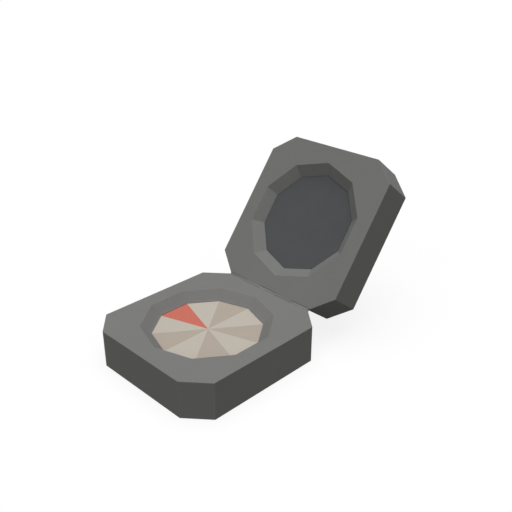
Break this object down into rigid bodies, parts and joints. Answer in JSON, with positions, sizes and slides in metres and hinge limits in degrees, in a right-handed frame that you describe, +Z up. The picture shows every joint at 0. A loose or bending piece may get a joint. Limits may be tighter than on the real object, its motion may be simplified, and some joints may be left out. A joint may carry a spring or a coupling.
{
  "type": "qibla compass",
  "caption": "Pocket qibla compass: a cut-corner case with a hinged lid, a faceted sloping well over a free-turning sectored card, and a dark mirror panel in the lid's matching recess.",
  "frame": {"origin": "centre of the base's flat underside", "axes": "+Z up out of the dial, +Y from the middle of the base towards the hinge, +X along the hinge to the right as seen from the front"},
  "size_m": [0.06, 0.1131, 0.0647],
  "materials": {
    "case_plastic": "matte",
    "cover_aluminium": "satin",
    "screw_steel": "satin",
    "pin_steel": "satin",
    "hinge_steel": "satin",
    "brass": "satin",
    "black_rubber": "matte",
    "clear_crystal": "polished",
    "card_board": "matte",
    "sector_light": "matte",
    "sector_dark": "matte",
    "sector_red": "matte",
    "jewel_ceramic": "polished",
    "magnet_steel": "satin",
    "smoked_mirror": "satin"
  },
  "bodies": {
    "base": {"base_case": "case_plastic", "bottom_cover": "cover_aluminium", "cover_screws": "screw_steel", "threaded_inserts": "brass", "crystal": "clear_crystal", "cup_gasket": "black_rubber", "compass_cup": "brass", "cup_cushions": "black_rubber", "pivot_pin": "pin_steel", "hinge_pin": "hinge_steel"},
    "card": {"card_disc": "card_board", "light_sectors": "sector_light", "dark_sectors": "sector_dark", "red_sector": "sector_red", "card_hub": "brass", "hub_jewel": "jewel_ceramic", "bar_magnets": "magnet_steel"},
    "lid": {"lid_shell": "case_plastic", "lid_cover": "case_plastic", "lid_mirror": "smoked_mirror", "mirror_pad": "black_rubber"}
  },
  "joints": [
    {"name": "lid_hinge", "type": "hinge", "parent": "base", "child": "lid", "pos_m": [0, 0.0315, 0.01485], "axis": [1, 0, 0], "range_deg": [0, 127.5]},
    {"name": "card_spin", "type": "hinge", "parent": "base", "child": "card", "pos_m": [0, 0, 0.0103], "axis": [0, 0, 1], "continuous": true}
  ]
}
